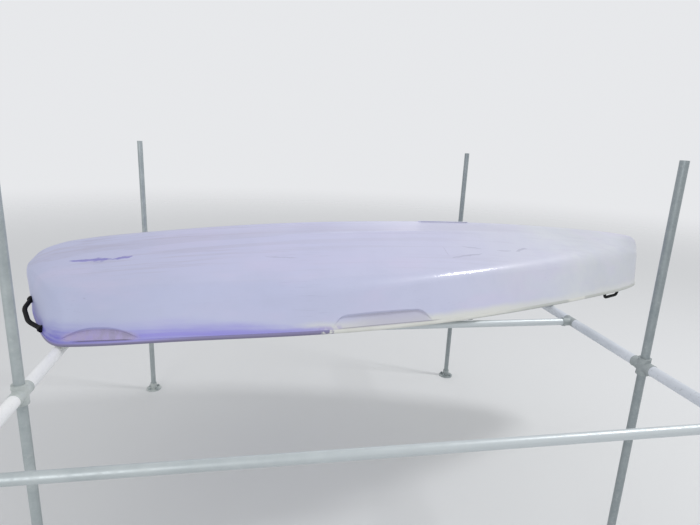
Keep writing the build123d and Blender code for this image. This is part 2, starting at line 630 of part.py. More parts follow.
# Turn the boat over onto the sleeves, and set the rack under it
turned = math.radians(RACK_ANGLE)
contact_xs = []
widest_half = max(row[1] for row in HULL_SECTIONS)
for x in (0.0, POST_SPACING_X):
    for side_y in (-widest_half, widest_half):
        tube_x = RACK_X + x * math.cos(turned)
        tube_y = RACK_Y + x * math.sin(turned)
        contact_xs.append(tube_x - (side_y - tube_y) * math.tan(turned))
highest_rim = max(deck_z(x) for x in contact_xs)
boat_level = TUBE_LEVEL + SLEEVE_RADIUS + SEAT_GAP + highest_rim
boat_place = Pos(0, 0, boat_level) * Rot(180, 0, 0)
rack_place = Pos(RACK_X, RACK_Y, TUBE_LEVEL) * Rot(0, 0, RACK_ANGLE)
placed = {name: boat_place * shape for name, shape in boat.items()}
placed.update({name: rack_place * shape for name, shape in rack.items()})

# The model's origin is the middle of the floor under its box
box = Compound(list(placed.values())).bounding_box()
shift = Pos(-0.5 * (box.min.X + box.max.X), -0.5 * (box.min.Y + box.max.Y), -box.min.Z)
os.makedirs("parts", exist_ok=True)
for name, shape in placed.items():
    export_step(shift * shape, "parts/" + name + ".step")
print("boat frame origin in the model:", shift * boat_place)
print("rack frame origin in the model:", shift * rack_place)
print("mast axis x", MAST_X, "flange top", mast_top_z, "hatch top", hatch_top_z, "boat level", boat_level)
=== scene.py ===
import json
import math

import bmesh
import bpy
from mathutils import Euler, Matrix, Vector
from mathutils.bvhtree import BVHTree


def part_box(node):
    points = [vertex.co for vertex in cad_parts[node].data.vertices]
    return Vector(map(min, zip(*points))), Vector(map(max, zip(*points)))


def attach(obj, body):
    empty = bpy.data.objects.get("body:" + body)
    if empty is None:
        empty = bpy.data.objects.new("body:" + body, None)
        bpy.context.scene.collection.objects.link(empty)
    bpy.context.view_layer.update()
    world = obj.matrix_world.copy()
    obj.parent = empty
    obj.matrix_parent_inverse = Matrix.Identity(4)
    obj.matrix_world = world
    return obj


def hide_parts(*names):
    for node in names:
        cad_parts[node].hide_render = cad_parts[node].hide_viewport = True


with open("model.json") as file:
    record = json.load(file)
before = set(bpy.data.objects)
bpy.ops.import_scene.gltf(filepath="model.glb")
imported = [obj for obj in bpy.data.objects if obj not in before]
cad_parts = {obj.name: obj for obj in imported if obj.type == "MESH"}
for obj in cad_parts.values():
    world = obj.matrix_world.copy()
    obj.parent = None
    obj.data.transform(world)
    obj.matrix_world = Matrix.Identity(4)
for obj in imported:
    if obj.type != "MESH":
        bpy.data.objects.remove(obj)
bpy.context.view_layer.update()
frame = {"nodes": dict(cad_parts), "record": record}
nodes = frame["nodes"]
mounts = {mount["name"]: mount["pos_m"] for mount in frame["record"]["mounts"]}

ROOT = "boat_and_rack"
LID = "hatch_lid"
MM = 0.001
# Directions, in the rack's frame or the upright boat's
UP, DOWN = (0, 0, 1), (0, 0, -1)
FORE, AFT = (1, 0, 0), (-1, 0, 0)
FAR, NEAR = (0, 1, 0), (0, -1, 0)

# The upturned boat's own frame, x forward, y to port, z up when upright, found by its mast step
MAST_X, MAST_TOP = 2720.0, 39.301  # station and top of the step, in millimetres
STEP_X, BOAT_Y, STEP_Z = mounts["mast_step"]
BOAT_X = MAST_X * MM - STEP_X
BOAT_Z = MAST_TOP * MM + STEP_Z
BOAT_LENGTH = 3.5
SHEER_RADIUS = 53.0          # metres; the parting line between hull and deck is one long arc
SHEER_LOW = 1.405            # station where the arc is lowest
RIM_HEIGHT = 18.0            # millimetres of deck moulding above the parting line


def boat(x, y, z):
    """A point of the upright boat, in millimetres, as a place in the shared frame."""
    return Vector((x * MM - BOAT_X, BOAT_Y - y * MM, BOAT_Z - z * MM))


def boat_way(x, y, z):
    """A direction of the upright boat as one in the shared frame."""
    return Vector((x, -y, -z))


def deck_top(x):
    """Height of the deck at station x, in millimetres of the upright boat."""
    return (x * MM - SHEER_LOW) ** 2 / (2.0 * SHEER_RADIUS) / MM + RIM_HEIGHT


# Camera, solved from the straight tubes of the rack
CAMERA_PLACE = Vector((-0.868342, -2.451811, 1.950798))
CAMERA_DEGREES = (75.62301, -2.46041, -14.08708)  # about x, y and z
CAMERA_LENS, SENSOR_WIDTH = 26.26, 36.0           # millimetres
camera = bpy.data.objects.new("camera", bpy.data.cameras.new("camera"))
bpy.context.scene.collection.objects.link(camera)
bpy.context.scene.camera = camera
camera_turn = Euler([math.radians(angle) for angle in CAMERA_DEGREES])
camera.matrix_world = Matrix.LocRotScale(CAMERA_PLACE, camera_turn, None)
camera.data.sensor_width = SENSOR_WIDTH
camera.data.lens = CAMERA_LENS
camera.data.clip_end = 200.0


# Material nodes
def tone(red, green, blue):
    """Linear colour of an sRGB triple from 0 to 255."""
    values = []
    for level in (red, green, blue):
        share = level / 255.0
        values.append(share / 12.92 if share <= 0.04045 else ((share + 0.055) / 1.055) ** 2.4)
    return (*values, 1.0)


class Paint:
    """One material's node tree, with a short call for each kind of node it uses."""

    def __init__(self, name, roughness=0.5, metallic=0.0):
        self.material = bpy.data.materials.new(name)
        self.material.use_nodes = True
        tree = self.material.node_tree
        tree.nodes.clear()
        self.nodes, self.links = tree.nodes, tree.links
        self.shader = self.nodes.new("ShaderNodeBsdfPrincipled")
        self.shader.inputs["Roughness"].default_value = roughness
        self.shader.inputs["Metallic"].default_value = metallic
        self.output = self.nodes.new("ShaderNodeOutputMaterial")
        self.links.new(self.shader.outputs["BSDF"], self.output.inputs["Surface"])
        self.place = self.nodes.new("ShaderNodeTexCoord").outputs["Object"]

    def put(self, socket, value):
        if isinstance(value, bpy.types.NodeSocket):
            self.links.new(value, socket)
        else:
            socket.default_value = value

    def calc(self, kind, *values):
        node = self.nodes.new("ShaderNodeMath")
        node.operation = kind
        for socket, value in zip(node.inputs, values):
            self.put(socket, value)
        return node.outputs[0]

    def product(self, *values):
        made = values[0]
        for value in values[1:]:
            made = self.calc("MULTIPLY", made, value)
        return made

    def most(self, *values):
        made = values[0]
        for value in values[1:]:
            made = self.calc("MAXIMUM", made, value)
        return made

    def axes(self, vector=None):
        node = self.nodes.new("ShaderNodeSeparateXYZ")
        self.links.new(vector or self.place, node.inputs[0])
        return node.outputs

    def scaled(self, stretch, turned=(0.0, 0.0, 0.0)):
        node = self.nodes.new("ShaderNodeMapping")
        self.links.new(self.place, node.inputs["Vector"])
        node.inputs["Rotation"].default_value = turned
        node.inputs["Scale"].default_value = stretch
        return node.outputs[0]

    def noise(
        self, scale, detail=2.0, roughness=0.5, stretch=(1.0, 1.0, 1.0), turned=(0.0, 0.0, 0.0)
    ):
        node = self.nodes.new("ShaderNodeTexNoise")
        self.links.new(self.scaled(stretch, turned), node.inputs["Vector"])
        node.inputs["Scale"].default_value = scale
        node.inputs["Detail"].default_value = detail
        node.inputs["Roughness"].default_value = roughness
        return node.outputs[0]

    def cells(self, scale, output="Distance"):
        node = self.nodes.new("ShaderNodeTexVoronoi")
        self.links.new(self.place, node.inputs["Vector"])
        node.inputs["Scale"].default_value = scale
        return node.outputs[output]

    def smooth(self, value, start, end, low=0.0, high=1.0):
        node = self.nodes.new("ShaderNodeMapRange")
        node.interpolation_type = "SMOOTHSTEP"
        for socket, item in zip(node.inputs, (value, start, end, low, high)):
            self.put(socket, item)
        return node.outputs[0]

    def within(self, value, low, high, soft):
        rise = self.smooth(value, low - soft, low + soft)
        fall = self.smooth(value, high - soft, high + soft, 1.0, 0.0)
        return self.product(rise, fall)

    def mix(self, share, first, second):
        node = self.nodes.new("ShaderNodeMix")
        node.data_type = "RGBA"
        self.put(node.inputs[0], share)
        self.put(node.inputs[6], first)
        self.put(node.inputs[7], second)
        return node.outputs[2]

    def ramp(self, value, stops):
        node = self.nodes.new("ShaderNodeValToRGB")
        self.put(node.inputs[0], value)
        places = node.color_ramp.elements
        while len(places) < len(stops):
            places.new(0.5)
        for place, (position, colour) in zip(places, stops):
            place.position = position
            place.color = colour
        return node.outputs[0]

    def colour(self, value):
        self.put(self.shader.inputs["Base Color"], value)

    def gloss(self, value):
        self.put(self.shader.inputs["Roughness"], value)

    def bump(self, *layers):
        """layers: height, strength, distance in metres; each rides on the one before."""
        normal = None
        for height, strength, distance in layers:
            node = self.nodes.new("ShaderNodeBump")
            self.put(node.inputs["Height"], height)
            node.inputs["Strength"].default_value = strength
            node.inputs["Distance"].default_value = distance
            if normal is not None:
                self.links.new(normal, node.inputs["Normal"])
            normal = node.outputs[0]
        self.links.new(normal, self.shader.inputs["Normal"])


# Boat plastics
PURPLE = tone(142, 136, 214)
PURPLE_DEEP = tone(112, 108, 190)
IVORY = tone(214, 215, 207)
# Faded lavender of the hull, by share of its length from the transom
LAVENDER = [
    (0.0, tone(178, 184, 212)),
    (0.3, tone(188, 192, 220)),
    (0.6, tone(194, 197, 220)),
    (0.82, tone(201, 205, 211)),
    (1.0, tone(182, 186, 193)),
]
PURPLE_END = 1.37            # station where the purple along the gunwale stops
# Painted shade lies along the edge of the keel band, this far from the centreline
STRIP_OFFSET = 0.207         # edge of the grey strip from the centreline, at the transom
STRIP_NARROWING = 0.0367     # and how much nearer it comes for each metre forward
# Hand-holds: middle station, half length, height, lean of the ends, squareness of the arch
AFT_HOLD = (0.401, 0.145, 0.035, 0.0, 2.1)
MID_HOLD = (1.561, 0.245, 0.051, 0.036, 6.0)
# Purple scrapes and grey scuffs of the port side: x and depth of both ends, half width, strength
SCRAPES = [
    (0.205, 0.227, 0.400, 0.235, 0.0034, 0.8),
    (0.300, 0.231, 0.378, 0.235, 0.0052, 0.85),
    (0.385, 0.234, 0.480, 0.243, 0.0034, 0.8),
]
SCUFFS = [
    (1.990, 0.272, 1.992, 0.236, 0.003, 0.35),
    (2.000, 0.234, 2.200, 0.241, 0.003, 0.4),
    (2.10, 0.268, 2.22, 0.256, 0.003, 0.35),
    (2.42, 0.243, 2.52, 0.252, 0.004, 0.4),
    (2.30, 0.249, 2.40, 0.246, 0.003, 0.3),
    (1.06, 0.246, 1.22, 0.243, 0.002, 0.3),
    (0.33, 0.156, 0.345, 0.150, 0.003, 0.35),
]


def boat_axes(paint):
    """x, y, height and depth under the parting line, of the upright boat, in metres."""
    across = paint.axes()
    x = paint.calc("ADD", across[0], BOAT_X)
    y = paint.calc("SUBTRACT", BOAT_Y, across[1])
    z = paint.calc("SUBTRACT", BOAT_Z, across[2])
    from_low = paint.calc("SUBTRACT", x, SHEER_LOW)
    rise = paint.product(from_low, from_low, 0.5 / SHEER_RADIUS)
    return x, y, z, paint.calc("SUBTRACT", rise, z)


def spindle(paint, x, y, depth, mark):
    """Mark with pointed ends between two points of the port side."""
    x0, d0, x1, d1, half, strength = mark
    length = math.hypot(x1 - x0, d1 - d0)
    ux, ud = (x1 - x0) / length, (d1 - d0) / length
    rel_x = paint.calc("SUBTRACT", x, x0)
    rel_d = paint.calc("SUBTRACT", depth, d0)
    along = paint.calc("ADD", paint.product(rel_x, ux), paint.product(rel_d, ud))
    off = paint.calc("SUBTRACT", paint.product(rel_d, ux), paint.product(rel_x, ud))
    wander = paint.smooth(paint.noise(24.0, 3.0), 0.3, 0.7, -0.4 * half, 0.4 * half)
    off = paint.calc("ABSOLUTE", paint.calc("ADD", off, wander))
    from_end = paint.calc("MINIMUM", along, paint.calc("SUBTRACT", length, along))
    reach = paint.smooth(from_end, 0.0, 0.35 * length, 0.3, 1.0)
    body = paint.smooth(paint.calc("DIVIDE", off, reach), 0.35 * half, half, 1.0, 0.0)
    ends = paint.smooth(from_end, 0.0, 0.01)
    port_side = paint.smooth(y, 0.0, 0.02)
    return paint.product(body, ends, port_side, strength)


def hold_mask(paint, x, z, hold, soft):
    """Arch that a hand-hold cuts into the side, 1 inside it."""
    middle, half, height, lean, power = hold
    from_middle = paint.calc("ABSOLUTE", paint.calc("SUBTRACT", x, middle))
    up = paint.most(paint.product(z, -1.0 / height), 0.0)
    reach = paint.calc("ADD", from_middle, paint.product(up, lean))
    across = paint.calc("POWER", paint.product(reach, 1.0 / half), power)
    up = paint.calc("POWER", up, power)
    inside = paint.smooth(paint.calc("ADD", across, up), 1.0 - soft, 1.0 + 0.5 * soft, 1.0, 0.0)
    return paint.product(inside, paint.smooth(z, 0.004, 0.012, 1.0, 0.0))


def purple_share(paint, x, depth):
    """Unfaded colour left along the gunwale aft, and round the quarters."""
    ragged = paint.smooth(paint.noise(9.0, 4.0, 0.6, (0.35, 1.0, 1.6)), 0.3, 0.7, -0.008, 0.008)
    ragged_depth = paint.calc("ADD", depth, ragged)
    band_top = paint.smooth(x, 0.5, PURPLE_END, 0.088, 0.02)
    near_edge = paint.smooth(ragged_depth, 0.004, band_top, 1.0, 0.0)
    streaks = paint.smooth(paint.noise(16.0, 3.0, 0.55, (0.16, 1.0, 5.0)), 0.32, 0.62, 0.66, 1.0)
    aft = paint.smooth(x, PURPLE_END - 0.12, PURPLE_END - 0.02, 1.0, 0.0)
    fade = paint.smooth(x, 0.6, PURPLE_END, 1.0, 0.7)
    quarter = paint.product(
        paint.smooth(x, 0.04, 0.26, 0.9, 0.0), paint.smooth(ragged_depth, 0.0, 0.105, 1.0, 0.0)
    )
    return paint.most(paint.product(near_edge, streaks, aft, fade), quarter)


def chalky_body(paint, x, y, depth):
    """Faded lavender, paler forward, with soft clouds and painted shade along the edge of the keel
    band.
    """
    drift = paint.smooth(paint.noise(1.7, 2.0), 0.3, 0.7, -0.05, 0.05)
    body = paint.ramp(paint.calc("ADD", paint.product(x, 1.0 / BOAT_LENGTH), drift), LAVENDER)
    mottle = paint.smooth(paint.noise(8.0, 4.0, 0.6), 0.35, 0.75, 0.0, 0.26)
    body = paint.mix(mottle, body, tone(180, 184, 208))
    rosy = paint.smooth(paint.noise(3.4, 3.0, 0.6, (0.6, 1.0, 1.4)), 0.48, 0.7, 0.0, 0.3)
    body = paint.mix(rosy, body, tone(203, 194, 220))
    bottom = paint.smooth(depth, 0.17, 0.23)
    tinted = paint.product(bottom, paint.smooth(x, 2.0, 2.9, 0.3, 0.08))
    body = paint.mix(tinted, body, tone(200, 197, 228))
    side = paint.calc("ABSOLUTE", y)
    edge = paint.calc("SUBTRACT", STRIP_OFFSET, paint.product(x, STRIP_NARROWING))
    from_edge = paint.calc("SUBTRACT", edge, side)
    # Painted shade along the edge of the keel band, where the bottom creases
    keel_band_shade = paint.product(
        paint.smooth(from_edge, -0.003, 0.006),
        paint.smooth(from_edge, 0.05, 0.13, 1.0, 0.0),
        bottom,
        paint.smooth(x, 2.2, 2.9, 1.0, 0.0),
    )
    body = paint.mix(paint.product(keel_band_shade, 0.28), body, tone(170, 168, 191))
    streaks = paint.smooth(paint.noise(5.0, 3.0, 0.55, (0.16, 6.0, 6.0)), 0.5, 0.64)
    aft = paint.smooth(x, 0.2, 1.6, 0.4, 0.16)
    return paint.mix(paint.product(streaks, bottom, aft), body, tone(170, 167, 188))


def hull_paint():
    paint = Paint("hull_polyethylene")
    x, y, z, depth = boat_axes(paint)
    body = chalky_body(paint, x, y, depth)

    # Fine scratches along the boat
    lines = paint.noise(7.0, 2.0, 0.5, (0.8, 34.0, 34.0), (0.0, 0.05, 0.08))
    lines_where = paint.smooth(paint.noise(3.0, 2.0), 0.5, 0.62)
    scratch = paint.product(paint.smooth(lines, 0.64, 0.7), lines_where)
    body = paint.mix(paint.product(scratch, 0.28), body, tone(160, 162, 190))

    # Pale edge over the gunwale forward of the purple
    ragged = paint.smooth(paint.noise(5.0, 3.0), 0.3, 0.7, -0.005, 0.005)
    pale_depth = paint.calc("ADD", depth, ragged)
    pale = paint.product(
        paint.smooth(pale_depth, 0.006, 0.04, 1.0, 0.0),
        paint.smooth(x, PURPLE_END - 0.3, PURPLE_END - 0.06),
        paint.smooth(x, 2.1, 2.8, 0.85, 0.4),
    )
    body = paint.mix(pale, body, IVORY)

    # Purple left along the gunwale, and the scuffed patch where it ends
    purple = purple_share(paint, x, depth)
    body = paint.mix(purple, body, paint.mix(paint.smooth(x, 0.12, 0.5), PURPLE_DEEP, PURPLE))
    patch = paint.product(
        paint.within(x, 1.25, 1.37, 0.02),
        paint.smooth(depth, 0.006, 0.02, 1.0, 0.0),
        paint.smooth(paint.noise(30.0, 3.0), 0.42, 0.56),
    )
    body = paint.mix(paint.product(patch, 0.5), body, tone(154, 140, 200))

    # Grime held in the aft hand-hold; the mid hand-hold is painted darker inside
    grit = paint.noise(26.0, 5.0, 0.7, (1.6, 1.0, 0.45))
    grimy = paint.smooth(grit, 0.3, 0.62, 0.6, 0.95)
    darker = paint.product(paint.smooth(grit, 0.38, 0.62), paint.smooth(x, 0.28, 0.42, 0.3, 1.0))
    aft_dirt = paint.mix(darker, tone(178, 166, 200), tone(160, 153, 182))
    aft_hold = hold_mask(paint, x, z, AFT_HOLD, 0.4)
    body = paint.mix(paint.product(aft_hold, grimy), body, aft_dirt)
    mid_hold = hold_mask(paint, x, z, MID_HOLD, 0.5)
    mid_hold_darker = paint.smooth(x, 1.34, 1.56, 0.3, 0.8)
    body = paint.mix(paint.product(mid_hold, mid_hold_darker), body, tone(182, 181, 198))

    # Painted shade: a dark line along the parting line under the holds, where a hold's floor meets
    # the deck lip
    line = paint.most(
        paint.product(paint.within(x, 0.31, 0.51, 0.02), 0.8),
        paint.product(paint.within(x, 1.36, 1.84, 0.03), 0.45),
    )
    line = paint.product(line, paint.smooth(depth, 0.0022, 0.0042, 1.0, 0.0))
    body = paint.mix(line, body, tone(92, 84, 104))

    for marks, colour in ((SCRAPES, tone(122, 116, 190)), (SCUFFS, tone(140, 140, 166))):
        shares = [spindle(paint, x, y, depth, mark) for mark in marks]
        body = paint.mix(paint.most(*shares), body, colour)
    paint.colour(body)

    gloss = paint.smooth(x, 0.8, 2.0, 0.5, 0.42)
    dull = paint.smooth(paint.noise(4.0, 3.0), 0.3, 0.7, -0.02, 0.05)
    paint.gloss(paint.calc("ADD", gloss, dull))
    paint.put(paint.shader.inputs["Coat Weight"], paint.smooth(x, 1.4, 2.0, 0.0, 0.6))
    paint.shader.inputs["Coat Roughness"].default_value = 0.13
    paint.bump(
        (paint.noise(4.0, 1.0), 0.08, 0.003),
        (paint.noise(700.0, 2.0), 0.05, 0.0003),
        (scratch, 0.12, 0.0004),
    )
    return paint.material


def deck_paint():
    """Pale stained plastic, purple along the outer face of the lip aft; painted shade darkens the
    lip's lower half aft and its face towards the bow.
    """
    paint = Paint("deck_polyethylene", 0.5)
    x, y, _, depth = boat_axes(paint)
    normal = paint.nodes.new("ShaderNodeNewGeometry").outputs["Normal"]
    upright = paint.calc("ABSOLUTE", paint.axes(normal)[2])
    stained = paint.smooth(paint.noise(8.0, 3.0), 0.35, 0.7)
    pale = paint.mix(paint.product(stained, 0.4), tone(213, 214, 209), tone(194, 195, 188))
    outer = paint.most(
        paint.smooth(paint.calc("ABSOLUTE", y), 0.41, 0.42),
        paint.smooth(x, 0.49, 0.51, 1.0, 0.0),
        paint.smooth(x, 2.85, 2.87),
    )
    lip_face = paint.product(outer, paint.smooth(depth, -0.0178, -0.0155))
    # Painted shade on the lip's outer face towards the bow
    bow_lip_shade = paint.product(lip_face, paint.smooth(x, 2.1, 2.6, 0.0, 0.7))
    pale = paint.mix(bow_lip_shade, pale, tone(172, 176, 173))
    fresh = paint.mix(paint.smooth(x, 0.2, 0.5), tone(124, 119, 192), tone(146, 140, 206))
    # The lip's face aft is purple on its upper half; painted shade, dark mauve, covers the lower
    # half and most of the face forward of 0.8 m
    upper_half = paint.smooth(depth, -0.009, -0.001)
    upper = paint.product(upper_half, paint.smooth(x, 0.5, 0.8, 1.0, 0.25))
    lip = paint.mix(upper, tone(116, 110, 144), fresh)
    ragged_x = paint.calc("ADD", x, paint.smooth(paint.noise(40.0, 3.0), 0.3, 0.7, -0.03, 0.03))
    lip_aft = paint.smooth(ragged_x, PURPLE_END - 0.08, PURPLE_END - 0.05, 0.95, 0.0)
    paint.colour(paint.mix(paint.product(lip_face, lip_aft), pale, lip))
    grain = paint.smooth(paint.cells(240.0), 0.15, 0.5, 1.0, 0.0)
    flat = paint.smooth(upright, 0.97, 0.995)
    paint.bump((paint.noise(5.0, 1.0), 0.15, 0.003), (paint.product(grain, flat), 0.5, 0.0006))
    return paint.material


def plain_plastic(name, base, worn, roughness, shine=0.5):
    paint = Paint(name)
    paint.shader.inputs["Specular IOR Level"].default_value = shine
    patches = paint.smooth(paint.noise(30.0, 4.0, 0.6), 0.4, 0.75)
    paint.colour(paint.mix(paint.product(patches, 0.6), base, worn))
    paint.gloss(paint.smooth(patches, 0.0, 1.0, roughness, roughness + 0.15))
    paint.bump((paint.noise(500.0, 2.0), 0.15, 0.0003))
    return paint.material


def sleeve_paint():
    """White pipe: painted light at the stern end, painted shade and more stains at the bow end of
    the rack.
    """
    paint = Paint("sleeve_plastic")
    x = paint.axes()[0]
    long_stain = paint.smooth(paint.noise(12.0, 4.0, 0.6, (1.0, 0.25, 1.0)), 0.4, 0.68)
    dirt = paint.noise(70.0, 4.0, 0.65)
    towards_bow = paint.smooth(x, -0.5, 0.5, 0.35, 1.0)
    # Painted light at the stern end, fading to painted shade towards the bow
    body = paint.mix(paint.smooth(x, -0.5, 0.5), tone(240, 241, 242), tone(208, 213, 221))
    body = paint.mix(paint.product(long_stain, towards_bow, 0.55), body, tone(176, 184, 192))
    specks = paint.product(paint.smooth(dirt, 0.58, 0.74, 0.0, 0.5), towards_bow)
    body = paint.mix(specks, body, tone(140, 143, 140))
    paint.colour(body)
    paint.gloss(paint.smooth(dirt, 0.4, 0.7, 0.4, 0.62))
    scratch = paint.noise(9.0, 2.0, 0.5, (40.0, 1.5, 40.0))
    paint.bump((scratch, 0.1, 0.0004), (dirt, 0.08, 0.0005))
    return paint.material


RAIL_LEVELS = (1.046, 1.094)  # underside and top of the rails, above the floor


def zinc_paint(name, light, dark, roughness, metallic, bumpy, rust, rail=None):
    """Dull galvanised steel, clouded and stained, with painted shade towards the bow; rail is the
    rails' colour, a painted reflection of the sky.
    """
    paint = Paint(name, roughness, metallic)
    level = paint.axes(paint.cells(110.0, "Color"))[0]
    cloud = paint.noise(11.0, 5.0, 0.6)
    body = paint.mix(paint.smooth(cloud, 0.3, 0.7), dark, light)
    across = paint.axes()
    # Painted shade, darker towards the bow
    body = paint.mix(paint.smooth(across[0], -1.2, 0.7, 0.0, 0.55), body, tone(120, 129, 134))
    # Rails painted lighter than the posts, more so towards the bow: a painted reflection of the
    # sky
    if rail is not None:
        at_rails = paint.within(across[2], *RAIL_LEVELS, 0.004)
        paler = paint.smooth(across[0], -1.5, 0.2, 0.3, 0.85)
        body = paint.mix(paint.product(at_rails, paler), body, rail)
    body = paint.mix(paint.product(level, 0.12), body, tone(198, 204, 204))
    bloom = paint.noise(48.0, 5.0, 0.7)
    body = paint.mix(paint.smooth(bloom, 0.56, 0.72, 0.0, 0.3), body, tone(206, 209, 206))
    stain = paint.noise(26.0, 4.0, 0.6)
    body = paint.mix(paint.smooth(stain, 0.7, 0.82, 0.0, rust), body, tone(128, 98, 70))
    paint.colour(body)
    paint.gloss(paint.smooth(bloom, 0.35, 0.7, roughness - 0.06, roughness + 0.15))
    paint.bump((cloud, 0.1, 0.001), (bloom, bumpy, 0.0005))
    return paint.material


WARP_PITCH, WEFT_PITCH = 0.0022, 0.0030


def webbing_paint():
    paint = Paint("webbing", 0.85)
    across = paint.axes()
    warp = paint.calc("SINE", paint.product(across[1], 2.0 * math.pi / WARP_PITCH))
    weft = paint.calc("SINE", paint.product(across[0], 2.0 * math.pi / WEFT_PITCH))
    weave = paint.product(warp, weft)
    shade = paint.smooth(weave, -1.0, 1.0)
    faded = paint.smooth(paint.noise(20.0, 3.0), 0.4, 0.7, 0.0, 0.5)
    body = paint.mix(shade, tone(26, 27, 32), tone(52, 54, 62))
    paint.colour(paint.mix(faded, body, tone(74, 76, 84)))
    paint.bump((weave, 0.5, 0.0006))
    return paint.material


def steel_paint():
    paint = Paint("stainless_steel", metallic=1.0)
    brushed = paint.noise(60.0, 3.0, 0.6, (1.0, 1.0, 14.0))
    paint.colour(paint.mix(brushed, tone(176, 179, 182), tone(206, 208, 210)))
    paint.gloss(paint.smooth(brushed, 0.3, 0.7, 0.2, 0.38))
    paint.bump((brushed, 0.05, 0.0002))
    return paint.material


SLOTS = {
    "hull_polyethylene": hull_paint(),
    "deck_polyethylene": deck_paint(),
    "sleeve_plastic": sleeve_paint(),
    "cast_fitting": zinc_paint(
        "cast_fitting", tone(200, 206, 204), tone(174, 181, 180),
        roughness=0.55, metallic=0.25, bumpy=0.3, rust=0.35,
    ),
    # Its rail colour is a painted reflection of the sky
    "galvanised_tube": zinc_paint(
        "galvanised_tube", tone(176, 184, 185), tone(158, 167, 169),
        roughness=0.4, metallic=0.4, bumpy=0.08, rust=0.15, rail=tone(206, 213, 216),
    ),
    "webbing": webbing_paint(),
    "handle_rubber": plain_plastic("handle_rubber", tone(10, 11, 13), tone(24, 26, 29), 0.6, 0.25),
    "stainless_steel": steel_paint(),
    "lid_plastic": plain_plastic("lid_plastic", tone(34, 35, 38), tone(58, 60, 63), 0.4),
    "black_plastic": plain_plastic("black_plastic", tone(28, 29, 31), tone(50, 52, 55), 0.45),
}


# Meshes
def piece(name, builder, slot, body=ROOT, replaced=(), smooth_under=0.6):
    """A named piece from a bmesh, smooth where its faces meet at less than an angle in radians."""
    bmesh.ops.recalc_face_normals(builder, faces=builder.faces)
    mesh = bpy.data.meshes.new(name)
    builder.to_mesh(mesh)
    builder.free()
    mesh.shade_smooth()
    mesh.set_sharp_from_angle(angle=smooth_under)
    mesh.materials.append(SLOTS[slot])
    item = bpy.data.objects.new(name, mesh)
    bpy.context.scene.collection.objects.link(item)
    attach(item, body)
    if replaced:
        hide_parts(*replaced)


def basis(direction):
    """Two unit vectors square to a direction."""
    direction = direction.normalized()
    helper = Vector((0, 0, 1)) if abs(direction.z) < 0.9 else Vector((1, 0, 0))
    first = direction.cross(helper).normalized()
    return first, direction.cross(first)


def spokes(first, second, count, phase=0.0):
    """Unit vectors all round, from the first of two vectors towards the second."""
    angles = [2.0 * math.pi * (i + phase) / count for i in range(count)]
    return [first * math.cos(angle) + second * math.sin(angle) for angle in angles]


def walls(builder, rings, closed=False):
    """Faces between rings of as many corners each."""
    count = len(rings[0])
    pairs = list(zip(rings, rings[1:]))
    if closed:
        pairs.append((rings[-1], rings[0]))
    for low, high in pairs:
        for i in range(count):
            j = (i + 1) % count
            builder.faces.new((low[i], low[j], high[j], high[i]))


def bridge(builder, rings):
    """Walls between rings, and a face over both ends."""
    walls(builder, rings)
    builder.faces.new(list(reversed(rings[0])))
    builder.faces.new(rings[-1])


def sized(profile, height, radius):
    """Profile rows with their heights and radii scaled."""
    return [(level * height, share * radius) for level, share in profile]


def turned_rings(builder, center, direction, profile, sides, phase=0.0, scale=1.0):
    """Rings round a direction: profile rows are height along it and radius, before the scale."""
    direction = direction.normalized()
    around = spokes(*basis(direction), sides, phase)
    rings = []
    for height, radius in profile:
        reaches = [(direction * height + spoke * radius) * scale for spoke in around]
        rings.append([builder.verts.new(center + reach) for reach in reaches])
    return rings


def turned_solid(builder, center, direction, profile, sides=24, phase=0.0):
    """Solid of revolution, from the same rows."""
    bridge(builder, turned_rings(builder, center, direction, profile, sides, phase))


def ring_bead(builder, center, direction, radius, thick, sides=48, around=10):
    """Rounded bead round an axis."""
    direction = direction.normalized()
    rings = []
    for out in spokes(*basis(direction), sides):
        middle = center + out * radius
        section = spokes(out, direction, around)
        rings.append([builder.verts.new(middle + spoke * thick) for spoke in section])
    walls(builder, rings, closed=True)


def arc_point(start, end, sweep, share):
    """Vector turned from the start towards the end by a share of the angle between them."""
    from_start = start * math.sin((1.0 - share) * sweep)
    from_end = end * math.sin(share * sweep)
    return (from_start + from_end) / math.sin(sweep)


def even_steps(points, step):
    """The same line at even steps."""
    made = [points[0]]
    left = step
    for a, b in zip(points, points[1:]):
        run = (b - a).length
        while run > left:
            a = a + (b - a).normalized() * left
            made.append(a)
            run = (b - a).length
            left = step
        left -= run
    made.append(points[-1])
    return made


def rounded_path(corners, bend, step):
    """Points along straight runs joined by arcs, a step apart."""
    points = [corners[0]]
    for before, corner, after in zip(corners, corners[1:], corners[2:]):
        back = (before - corner).normalized()
        ahead = (after - corner).normalized()
        half = 0.5 * back.angle(ahead)
        center = corner + (back + ahead).normalized() * bend / math.sin(half)
        start = corner + back * bend / math.tan(half) - center
        end = corner + ahead * bend / math.tan(half) - center
        sweep = start.angle(end)
        count = max(3, int(sweep * bend / step))
        points += [center + arc_point(start, end, sweep, i / count) for i in range(count + 1)]
    points.append(corners[-1])
    return even_steps(points, step)


def tube(builder, points, radii, sides=20, closed=False):
    """Round bar along points, with a radius at each."""
    first = basis(points[1] - points[0])[0]
    rings = []
    last = len(points) - 1
    for i, (point, radius) in enumerate(zip(points, radii)):
        if closed:
            ahead = points[(i + 1) % len(points)] - points[i - 1]
        else:
            ahead = points[min(i + 1, last)] - points[max(i - 1, 0)]
        ahead = ahead.normalized()
        first = (first - ahead * first.dot(ahead)).normalized()
        around = spokes(first, ahead.cross(first), sides)
        rings.append([builder.verts.new(point + spoke * radius) for spoke in around])
    if closed:
        walls(builder, rings, closed=True)
    else:
        bridge(builder, rings)


